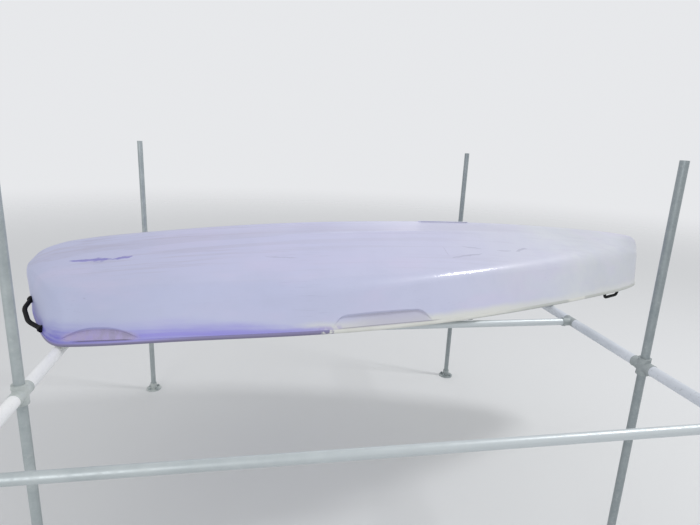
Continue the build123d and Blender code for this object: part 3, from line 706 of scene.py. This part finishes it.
# Screw head and its cross recess, in shares of the radius: profile rows are height and radius
HEAD_PROFILE = [(-0.1, 1.0), (0.28, 1.0), (0.5, 0.82), (0.6, 0.5)]
RECESS_HALF, RECESS_REACH, RECESS_FLOOR, RECESS_TOP = 0.11, 0.42, 0.3, 0.63


def rim_edges(builder, ring):
    """Edges between the neighbours of a ring."""
    return [builder.edges.get(pair) for pair in zip(ring, ring[1:] + ring[:1])]


def screw_head(builder, place, normal, radius, sides=24):
    """Low domed head with a cross recess."""
    normal = normal.normalized()
    dome = turned_rings(builder, place, normal, HEAD_PROFILE, sides, 0.5, radius)
    walls(builder, dome)
    builder.faces.new(list(reversed(dome[0])))
    cross = []
    arms = spokes(*basis(normal), 4)
    for ahead, aside in zip(arms, arms[1:] + arms[:1]):
        cross.append(RECESS_HALF * (ahead - aside))
        cross.append(RECESS_REACH * ahead - RECESS_HALF * aside)
        cross.append(RECESS_REACH * ahead + RECESS_HALF * aside)
    recess = []
    for height in (RECESS_TOP, RECESS_FLOOR):
        reaches = [(normal * height + corner) * radius for corner in cross]
        recess.append([builder.verts.new(place + reach) for reach in reaches])
    walls(builder, recess)
    builder.faces.new(recess[1])
    edges = rim_edges(builder, dome[-1]) + rim_edges(builder, recess[0])
    bmesh.ops.triangle_fill(builder, use_beauty=True, use_dissolve=False, edges=edges)


def screws(name, rows, radius):
    """One piece of screw heads; rows are place and normal of the upright boat."""
    builder = bmesh.new()
    for place, normal in rows:
        screw_head(builder, boat(*place), boat_way(*normal), radius * MM)
    piece(name, builder, "stainless_steel", smooth_under=0.5)


# Nut and stud, in shares of the nut's height and of the nut's corner or the stud's radius
NUT_PROFILE = [(0.0, 0.94), (0.12, 1.0), (0.88, 1.0), (1.0, 0.9)]
STUD_PROFILE = [(0.0, 1.0), (1.5, 1.0), (1.62, 0.75)]
STUD_SHARE = 0.29            # radius of the stud, as a share of the nut's width


def hex_nut(builder, place, normal, across, height):
    """Chamfered hexagon nut with a stud end through it."""
    corner = across / math.sqrt(3.0)
    turned_solid(builder, place, normal, sized(NUT_PROFILE, height, corner), 6, 0.5)
    stud = across * STUD_SHARE
    turned_solid(builder, place, normal, sized(STUD_PROFILE, height, stud), 16)


# Materials of the nodes from the CAD
for part in frame["record"]["subparts"]:
    data = nodes[part["node"]].data
    data.materials.clear()
    data.materials.append(SLOTS[part["material_slot"]])

# Carry handles, with the model's sizes, in millimetres of the upright boat
STERN_INNER = Vector((46.0, 288.0, -52.0))   # root towards the transom
STERN_OUTER = Vector((154.0, 537.0, 0.0))    # root towards the side
STERN_STAND = 32.0
STERN_SLOPE = 80.0           # how far the ends of the loop's top lie inside its roots
STERN_BEND = 110.0
STERN_RADIUS = 10.0
BOW_AFT, BOW_FORE = 3105.0, 3245.0           # stations of the roots
BOW_STAND = 33.0
BOW_RADIUS = 9.0
BOW_BEND = 22.0
HANDLE_ROOT = 6.0            # how far a handle starts inside the moulding
CREST_INSET = 0.3            # how far the crests of the ribs lie inside the model's plain bar
RIB_PITCH = 9.0
RIB_DEPTH = 1.7
RIB_FULLNESS = 0.6           # under 1 the ribs are broad and the grooves narrow
PLAIN_END = 24.0             # length without ribs at each end
RIB_RISE = 6.0               # length over which the ribs come in
# Cuff of a stern handle: rows are height above the moulding and radius
CUFF_PROFILE = [(-4.0, 15.0), (5.0, 15.0), (7.0, 14.0), (8.0, 11.0)]


def ribbed_handle(end_name, side_name, side, corners, bend, radius):
    """Loop with raised ribs between two plain ends, and a cuff where each end meets the boat."""
    path = rounded_path(corners, bend, 1.0)
    last = len(path) - 1
    radii = []
    # A point for each millimetre, so its number is its distance from the end
    for i in range(len(path)):
        from_end = min(i, last - i)
        wave = 0.5 - 0.5 * math.cos(2.0 * math.pi * i / RIB_PITCH)
        ribbed = min(1.0, max(0.0, (from_end - PLAIN_END) / RIB_RISE))
        groove = RIB_DEPTH * ribbed * (1.0 - wave ** RIB_FULLNESS)
        radii.append((radius - CREST_INSET - groove) * MM)
    builder = bmesh.new()
    places = [boat(point.x, side * point.y, point.z) for point in path]
    tube(builder, places, radii)
    cuff = sized(CUFF_PROFILE, MM, radius / STERN_RADIUS * MM)
    root = int(HANDLE_ROOT)
    for line in (places, places[::-1]):
        turned_solid(builder, line[root], line[root + 1] - line[root], cuff)
    name = end_name + "_grip_" + side_name
    node = end_name + "_handle_" + side_name
    piece(name, builder, "handle_rubber", replaced=(node,), smooth_under=1.2)


run = (STERN_OUTER - STERN_INNER).normalized()
outward = Vector((-run.y, run.x, 0.0)).normalized()
stern_corners = [
    STERN_INNER - outward * HANDLE_ROOT,
    STERN_INNER + outward * STERN_STAND + run * STERN_SLOPE,
    STERN_OUTER + outward * STERN_STAND - run * STERN_SLOPE,
    STERN_OUTER - outward * HANDLE_ROOT,
]
for side_name, side in (("port", 1.0), ("starboard", -1.0)):
    ribbed_handle("stern", side_name, side, stern_corners, STERN_BEND, STERN_RADIUS)
    low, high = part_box("bow_handle_" + side_name)
    nearer, farther = sorted((abs(BOAT_Y - low.y), abs(BOAT_Y - high.y)))
    aft_root = Vector((BOW_AFT, farther / MM - BOW_RADIUS, deck_top(BOW_AFT)))
    fore_root = Vector((BOW_FORE, nearer / MM + BOW_RADIUS, deck_top(BOW_FORE)))
    bow_corners = [
        aft_root - Vector(UP) * HANDLE_ROOT,
        aft_root + Vector(UP) * BOW_STAND,
        fore_root + Vector(UP) * BOW_STAND,
        fore_root - Vector(UP) * HANDLE_ROOT,
    ]
    ribbed_handle("bow", side_name, side, bow_corners, BOW_BEND, BOW_RADIUS)

# Screws of the boat's fittings, in millimetres of the upright boat
GUDGEON_LEVELS = (("gudgeon_screws_upper", -8.0), ("gudgeon_screws_lower", -112.0))
GUDGEON_PLATE = 5.0
GUDGEON_SCREW_Y, GUDGEON_HEAD = 21.5, 4.4
for name, level in GUDGEON_LEVELS:
    rows = [((-GUDGEON_PLATE, y, level), AFT) for y in (-GUDGEON_SCREW_Y, GUDGEON_SCREW_Y)]
    screws(name, rows, GUDGEON_HEAD)


def deck_circle(x, radius, height, count):
    """Places and normals of screws round an axis of the deck."""
    rows = []
    for i in range(count):
        angle = 2.0 * math.pi * (i + 0.5) / count
        rows.append(((x + radius * math.cos(angle), radius * math.sin(angle), height), UP))
    return rows


HATCH_X, HATCH_TOP = 2390.0, 31.061
BLOCK_X, BLOCK_TOP = 1915.0, 25.85
# columns: name, station of the axis, circle of the screws, height, count, radius of a head
DECK_SCREWS = [
    ("hatch_ring_screws", HATCH_X, 69.5, HATCH_TOP, 6, 4.0),
    ("mast_flange_screws", MAST_X, 43.0, MAST_TOP, 4, 4.5),
    ("block_base_screws", BLOCK_X, 16.5, BLOCK_TOP, 4, 3.4),
]
for name, x, circle, height, count, head in DECK_SCREWS:
    screws(name, deck_circle(x, circle, height, count), head)

CAP_RISE = 5.3               # top of the slot's cap above the deck
CAP_STATIONS = (2010.0, 2120.0, 2230.0)
CAP_ENDS = (1957.5, 2282.5)
CAP_SCREW_Y, CAP_HEAD = 27.5, 3.8
cap_places = [(x, y) for x in CAP_STATIONS for y in (-CAP_SCREW_Y, CAP_SCREW_Y)]
cap_places += [(x, 0.0) for x in CAP_ENDS]
cap_rows = [((x, y, deck_top(x) + CAP_RISE), UP) for x, y in cap_places]
screws("daggerboard_cap_screws", cap_rows, CAP_HEAD)

COCKPIT_MOUTH = 30.0         # level from which the cockpit's walls taper
COCKPIT_TAPER = math.radians(8.0)
SEAT_GAP = 0.3
STRAP_LEVEL = -92.0
PLATE_THICKNESS = 5.0
PLATE_SCREW_Y, PLATE_SCREW_RISE, PLATE_HEAD = 31.0, 11.0, 4.0
# columns: name, station of the cockpit's end at its mouth, way into the cockpit
STRAP_PLATES = [
    ("strap_plate_screws_aft", 520.0, 1.0),
    ("strap_plate_screws_fore", 1860.0, -1.0),
]
wall_inset = (COCKPIT_MOUTH - STRAP_LEVEL) * math.tan(COCKPIT_TAPER) + SEAT_GAP
for name, wall_x, side in STRAP_PLATES:
    normal = Vector((side * math.cos(COCKPIT_TAPER), 0.0, math.sin(COCKPIT_TAPER)))
    up_plate = Vector((-side * math.sin(COCKPIT_TAPER), 0.0, math.cos(COCKPIT_TAPER)))
    middle = Vector((wall_x + side * wall_inset, 0.0, STRAP_LEVEL)) + normal * PLATE_THICKNESS
    plate_rows = []
    for y in (-PLATE_SCREW_Y, PLATE_SCREW_Y):
        for rise in (-PLATE_SCREW_RISE, PLATE_SCREW_RISE):
            plate_rows.append((middle + up_plate * rise + Vector((0.0, y, 0.0)), normal))
    screws(name, plate_rows, PLATE_HEAD)

# Folded and stitched ends of the toe strap
STRAP_START, STRAP_END = 542.95, 1837.05
STRAP_SAG, STRAP_THICKNESS = 34.0, 4.0
FOLD_LENGTH, FOLD_HALF, FOLD_THICKNESS = 74.0, 21.5, 2.2
FOLD_START, FOLD_SUNK, FOLD_STEPS = 1.0, 0.4, 12
STITCH_ROWS = (-17.5, 17.5)
STITCH_START, STITCH_FREE = 6.0, 10.0   # first stitch, and length of the fold without stitches
STITCH_LENGTH, STITCH_PITCH = 4.0, 6.5
STITCH_RADIUS, STITCH_SUNK = 0.55, 0.5


def strap_level(x):
    """Upper face of the sagging strap at station x."""
    share = 2.0 * (x - STRAP_START) / (STRAP_END - STRAP_START) - 1.0
    return STRAP_LEVEL + STRAP_SAG * (1.0 - share * share) + STRAP_THICKNESS


def strap_fold(name, start, way):
    """Second layer of webbing over the end of the strap, with its rows of stitches."""
    builder = bmesh.new()
    rings = []
    for i in range(FOLD_STEPS + 1):
        x = start + way * (FOLD_START + FOLD_LENGTH * i / FOLD_STEPS)
        low = strap_level(x) - FOLD_SUNK
        high = low + FOLD_THICKNESS
        corners = [(-FOLD_HALF, low), (FOLD_HALF, low), (FOLD_HALF, high), (-FOLD_HALF, high)]
        rings.append([builder.verts.new(boat(x, y, z)) for y, z in corners])
    bridge(builder, rings)
    for y in STITCH_ROWS:
        for i in range(int((FOLD_LENGTH - STITCH_FREE) / STITCH_PITCH)):
            x = start + way * (STITCH_START + i * STITCH_PITCH)
            ends = [x, x + way * STITCH_LENGTH]
            levels = [strap_level(end) + FOLD_THICKNESS - STITCH_SUNK for end in ends]
            places = [boat(end, y, level) for end, level in zip(ends, levels)]
            tube(builder, places, [STITCH_RADIUS * MM] * 2, 8)
    piece(name, builder, "webbing")


strap_fold("strap_fold_aft", STRAP_START, 1.0)
strap_fold("strap_fold_fore", STRAP_END, -1.0)

# Mainsheet block: rivets through the cheeks and the spring that stands it up
SHEAVE_LEVEL = 65.85
CHEEK_OUTER = 9.0
RIVET_PROFILE = [(-0.5, 5.5), (1.0, 5.5), (2.0, 4.2), (2.3, 2.0)]
rivet = sized(RIVET_PROFILE, MM, MM)
builder = bmesh.new()
for side in (-1.0, 1.0):
    cheek = boat(BLOCK_X, side * CHEEK_OUTER, SHEAVE_LEVEL)
    turned_solid(builder, cheek, boat_way(0, side, 0), rivet)
piece("block_rivets", builder, "stainless_steel")
SPRING_RADIUS, SPRING_WIRE, SPRING_TURNS, SPRING_RISE = 10.4, 1.2, 4.5, 15.0
SPRING_STEPS = 24            # in each turn
builder = bmesh.new()
coil = []
for i in range(int(SPRING_TURNS * SPRING_STEPS) + 1):
    angle = 2.0 * math.pi * i / SPRING_STEPS
    x = BLOCK_X + SPRING_RADIUS * math.cos(angle)
    level = BLOCK_TOP + SPRING_WIRE + SPRING_RISE * i / (SPRING_TURNS * SPRING_STEPS)
    coil.append(boat(x, SPRING_RADIUS * math.sin(angle), level))
tube(builder, coil, [SPRING_WIRE * MM] * len(coil), 8)
piece("block_spring", builder, "stainless_steel")

# Drain bung seal
SEAL_PLACE = (-1.0, 85.0, -80.0)
SEAL_RADIUS, SEAL_WIRE = 17.0, 1.6
builder = bmesh.new()
ring_bead(builder, boat(*SEAL_PLACE), boat_way(*FORE), SEAL_RADIUS * MM, SEAL_WIRE * MM)
piece("drain_bung_seal", builder, "black_plastic")

# Hatch lid: raised rim and finger ribs
LID_RIM, LID_RIM_WIRE = 54.5, 1.3
LID_RIBS, LID_RIB_ENDS, LID_RIB_WIRE = 20, (41.0, 51.5), 1.1
GRIP_CLEAR = 9.0             # nearest that a rib comes to the middle of the lid's grip
lid_top = boat(HATCH_X, 0.0, HATCH_TOP)
builder = bmesh.new()
ring_bead(builder, lid_top, boat_way(*UP), LID_RIM * MM, LID_RIM_WIRE * MM, 72)
for spoke in spokes(boat_way(*FORE), boat_way(*FAR), LID_RIBS, 0.5):
    if abs(spoke.y) * LID_RIB_ENDS[0] < GRIP_CLEAR:
        continue
    ends = [lid_top + spoke * reach * MM for reach in LID_RIB_ENDS]
    tube(builder, ends, [LID_RIB_WIRE * MM] * 2, 10)
piece("hatch_lid_ribs", builder, "lid_plastic", LID)

# Raised lip round the daggerboard slot in the bottom
SLOT_MIDDLE, SLOT_HALF_LENGTH, SLOT_HALF_WIDTH = 2120.0, 150.0, 15.0
LIP_OUT, LIP_WIRE, LIP_SUNK = 5.5, 4.0, 1.0
LIP_TURN_STEPS, LIP_SIDE_STEPS = 12, 20
OVER_HULL = -600.0           # height in the upright boat from which the bottom is felt for
hull_tree = BVHTree.FromObject(nodes["hull_moulding"], bpy.context.evaluated_depsgraph_get())
outline = []
lip_half = SLOT_HALF_LENGTH - SLOT_HALF_WIDTH
lip_turn = SLOT_HALF_WIDTH + LIP_OUT
for end, start_angle in ((1.0, -0.5 * math.pi), (-1.0, 0.5 * math.pi)):
    for i in range(LIP_TURN_STEPS + 1):
        angle = start_angle + math.pi * i / LIP_TURN_STEPS
        x = SLOT_MIDDLE + end * lip_half + lip_turn * math.cos(angle)
        outline.append((x, lip_turn * math.sin(angle)))
    for i in range(1, LIP_SIDE_STEPS):
        share = 1.0 - 2.0 * i / LIP_SIDE_STEPS
        outline.append((SLOT_MIDDLE + end * lip_half * share, end * lip_turn))
seated = []
for x, y in outline:
    hit, normal = hull_tree.ray_cast(boat(x, y, OVER_HULL), Vector(DOWN))[:2]
    seated.append(hit - normal * LIP_SUNK * MM)
builder = bmesh.new()
tube(builder, seated, [LIP_WIRE * MM] * len(seated), 14, closed=True)
piece("daggerboard_slot_lip", builder, "hull_polyethylene", smooth_under=1.2)

# The rack's own frame starts in the near stern post, on the axis of the tubes
TUBE_LEVEL = 1.070
RACK_TURN = math.radians(-3.9)
rack_origin = Vector(mounts["foot_near_stern_bolts"]) + Vector((0, 0, TUBE_LEVEL))
rack_place = Matrix.Translation(rack_origin) @ Matrix.Rotation(RACK_TURN, 4, "Z")


def rack(x, y, z):
    """A point of the rack, in millimetres, as a place in the shared frame."""
    return rack_place @ (Vector((x, y, z)) * MM)


def rack_way(x, y, z):
    """A direction of the rack as one in the shared frame."""
    return rack_place.to_3x3() @ Vector((x, y, z))


# Beads and set screws on the cast fittings, in millimetres of the rack
POST_X = 2330.0              # between stern and bow posts
POST_Y = 2030.0              # between near and far posts
ARM = 447.0                  # from the near posts out to the front rail
RAIL_Y = 505.0               # from the near posts in to the inner rail
SOCKET_END = 52.0
SOCKET_R = 23.0
COLLAR_R = 24.5
COLLAR_HALF = 36.0
SLIM_SOCKET_R = 20.2
SLIM_COLLAR_R = 21.2
BEAD_WIRE = 1.9
BEAD_SUNK = 1.1              # how far a bead's middle lies inside the fitting's wall
BEAD_INSET = 2.6             # from the mouth
SOCKET_SCREW, COLLAR_SCREW = 36.0, 20.0
BOSS_SUNK = 1.0
# Recessed set screw in a low boss: rows are height and radius
BOSS_PROFILE = [(0.0, 6.6), (2.4, 6.4), (3.2, 5.6), (3.2, 3.1), (1.0, 3.0)]


def fitting_trim(name, center, collar, sockets, collar_radius=COLLAR_R, socket_radius=SOCKET_R):
    """Beads at every mouth of a fitting, and its set screws."""
    builder = bmesh.new()
    middle = Vector(center)
    beads = [(SOCKET_END - BEAD_INSET, way, socket_radius) for way in sockets]
    if collar is not None:
        for reach in (COLLAR_HALF - BEAD_INSET, BEAD_INSET - COLLAR_HALF):
            beads.append((reach, collar, collar_radius))
    for reach, way, radius in beads:
        spot = middle + Vector(way) * reach
        ring_bead(builder, rack(*spot), rack_way(*way), (radius - BEAD_SUNK) * MM, BEAD_WIRE * MM)
    spots = [(middle + Vector(way) * SOCKET_SCREW, Vector(DOWN), socket_radius) for way in sockets]
    if collar is not None:
        away = -sum((Vector(way) for way in sockets), Vector((0, 0, 0)))
        if away.length < 0.5:
            away = Vector(AFT if center[0] < 1.0 else FORE)
        spots.append((middle + Vector(collar) * COLLAR_SCREW, away.normalized(), collar_radius))
    boss = sized(BOSS_PROFILE, MM, MM)
    for spot, way, radius in spots:
        start = rack(*(spot + way * (radius - BOSS_SUNK)))
        turned_solid(builder, start, rack_way(*way), boss)
    piece(name, builder, "cast_fitting")


for side_name, x, inward in (("stern", 0.0, FORE), ("bow", POST_X, AFT)):
    fitting_trim("post_cross_trim_" + side_name, (x, 0, 0), UP, [FAR, NEAR])
    fitting_trim("post_tee_trim_" + side_name, (x, POST_Y, 0), UP, [NEAR])
    fitting_trim("rail_elbow_trim_" + side_name, (x, -ARM, 0), None, [FAR, inward])
    fitting_trim(
        "rail_tee_trim_" + side_name, (x, RAIL_Y, 0), FAR, [inward], SLIM_COLLAR_R, SLIM_SOCKET_R
    )

# Washers and anchor nuts on the feet of the posts
FOOT_TOP = -1062.0
FOOT_CIRCLE = 38.0
WASHER_TOP = 2.0
WASHER_PROFILE = [(0.0, 10.5), (1.6, 10.5), (WASHER_TOP, 9.8)]
NUT_ACROSS, NUT_HEIGHT = 17.0, 8.0
washer = sized(WASHER_PROFILE, MM, MM)
for row_name, y in (("near", 0.0), ("far", POST_Y)):
    for side_name, x in (("stern", 0.0), ("bow", POST_X)):
        builder = bmesh.new()
        for spoke in spokes(Vector(FORE), Vector(FAR), 4, 0.5):
            spot = rack(*(Vector((x, y, FOOT_TOP)) + spoke * FOOT_CIRCLE))
            turned_solid(builder, spot, Vector(UP), washer, 28)
            seat = spot + Vector(UP) * WASHER_TOP * MM
            hex_nut(builder, seat, Vector(UP), NUT_ACROSS * MM, NUT_HEIGHT * MM)
        piece("foot_nuts_" + row_name + "_" + side_name, builder, "galvanised_tube")

# Floor, which clears away into the background with distance
FLOOR_HALF = 40.0
FADE_FROM, FADE_TO = 4.0, 16.0
FLOOR_COLOUR = (0.74, 0.75, 0.76, 1.0)
floor_builder = bmesh.new()
bmesh.ops.create_grid(floor_builder, x_segments=1, y_segments=1, size=FLOOR_HALF)
floor_mesh = bpy.data.meshes.new("floor")
floor_builder.to_mesh(floor_mesh)
floor_builder.free()
floor = bpy.data.objects.new("floor", floor_mesh)
bpy.context.scene.collection.objects.link(floor)
ground = Paint("studio_floor", 0.9)
ground.colour(FLOOR_COLOUR)
away = ground.nodes.new("ShaderNodeVectorMath")
away.operation = "LENGTH"
ground.links.new(ground.place, away.inputs[0])
clear = ground.nodes.new("ShaderNodeBsdfTransparent")
blend = ground.nodes.new("ShaderNodeMixShader")
ground.put(blend.inputs[0], ground.smooth(away.outputs["Value"], FADE_FROM, FADE_TO))
ground.links.new(ground.shader.outputs[0], blend.inputs[1])
ground.links.new(clear.outputs[0], blend.inputs[2])
ground.links.new(blend.outputs[0], ground.output.inputs["Surface"])
floor_mesh.materials.append(ground.material)

# World: soft light, and a paler background where the camera or a reflection sees it
SKY_LIGHT = (0.64, 0.645, 0.655, 1.0)
BACKGROUND = (0.80, 0.81, 0.83, 1.0)
world = bpy.data.worlds.new("studio")
bpy.context.scene.world = world
world.use_nodes = True
studio = world.node_tree
rays = studio.nodes.new("ShaderNodeLightPath")
seen = studio.nodes.new("ShaderNodeMix")
seen.data_type = "RGBA"
share = rays.outputs["Is Camera Ray"]
for kind in ("Is Glossy Ray", "Is Transmission Ray"):
    either = studio.nodes.new("ShaderNodeMath")
    either.operation = "MAXIMUM"
    studio.links.new(share, either.inputs[0])
    studio.links.new(rays.outputs[kind], either.inputs[1])
    share = either.outputs[0]
studio.links.new(share, seen.inputs[0])
seen.inputs[6].default_value = SKY_LIGHT
seen.inputs[7].default_value = BACKGROUND
studio.links.new(seen.outputs[2], studio.nodes["Background"].inputs["Color"])


def lamp(name, place, target, size, power):
    """Rectangular area light that looks from its place at a target."""
    data = bpy.data.lights.new(name, "AREA")
    data.shape = "RECTANGLE"
    data.size, data.size_y = size
    data.energy = power
    item = bpy.data.objects.new(name, data)
    bpy.context.scene.collection.objects.link(item)
    item.location = place
    aim = Vector(target) - Vector(place)
    item.rotation_mode = "QUATERNION"
    item.rotation_quaternion = aim.to_track_quat("-Z", "Y")


# columns: name, place, target, size, power in watts
LAMPS = [
    ("key", (4.95, -0.77, 6.7), (0.3, -0.2, 1.2), (1.3, 1.3), 175.0),
    ("fill", (-4.3, -5.9, 3.8), (0.0, 0.0, 1.0), (4.0, 4.0), 125.0),
    ("back", (0.5, 5.0, 4.5), (0.0, 0.0, 1.0), (4.0, 2.0), 20.0),
]
for row in LAMPS:
    lamp(*row)
bpy.context.scene.view_settings.view_transform = "Standard"
